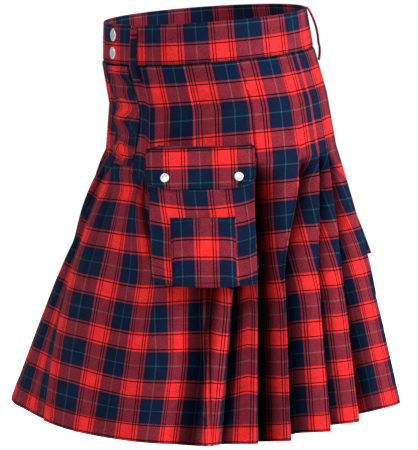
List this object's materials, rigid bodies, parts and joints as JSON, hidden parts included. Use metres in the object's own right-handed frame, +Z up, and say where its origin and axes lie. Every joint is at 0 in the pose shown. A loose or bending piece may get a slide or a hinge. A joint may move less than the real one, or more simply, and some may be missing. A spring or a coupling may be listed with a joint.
{
  "type": "pleated utility kilt",
  "caption": "Knee-length plaid utility kilt in worn form, with a snap-fastened waistband, belt loops, flat front panels, knife pleats round the sides and back, and cargo pockets",
  "frame": {"origin": "centre of the waist opening, 26 mm below the rim of the waistband and level with its middle to within 3 mm, where the wearer's waist holds the kilt up", "axes": "+Z is up, -Y is the wearer's front, +X is the wearer's left"},
  "size_m": [0.5393, 0.5371, 0.6068],
  "materials": {
    "plaid_red": "brushed cotton flannel, red and navy plaid",
    "plaid_dusk": "brushed cotton flannel, red and navy plaid",
    "plaid_navy": "brushed cotton flannel, red and navy plaid",
    "snap_metal": "polished nickel plate"
  },
  "bodies": {
    "root": {"waistband": "plaid_dusk", "belt_loop_1": "plaid_red", "belt_loop_2": "plaid_red", "belt_loop_3": "plaid_red", "belt_loop_4": "plaid_red", "belt_loop_5": "plaid_red", "fly_placket": "plaid_red", "front_panel_left": "plaid_red", "front_panel_right": "plaid_red", "left_side_panel": "plaid_red", "right_side_panel": "plaid_red", "left_back_panel": "plaid_red", "right_back_panel": "plaid_red", "left_cargo_pocket": "plaid_red", "right_cargo_pocket": "plaid_red", "left_pocket_flap": "plaid_red", "right_pocket_flap": "plaid_red", "left_patch_pocket": "plaid_navy", "right_patch_pocket": "plaid_navy", "left_back_pocket": "plaid_red", "right_back_pocket": "plaid_red", "waist_snap_upper": "snap_metal", "waist_snap_lower": "snap_metal", "left_flap_snap_front": "snap_metal", "left_flap_snap_back": "snap_metal", "right_flap_snap_front": "snap_metal", "right_flap_snap_back": "snap_metal"}
  },
  "joints": []
}
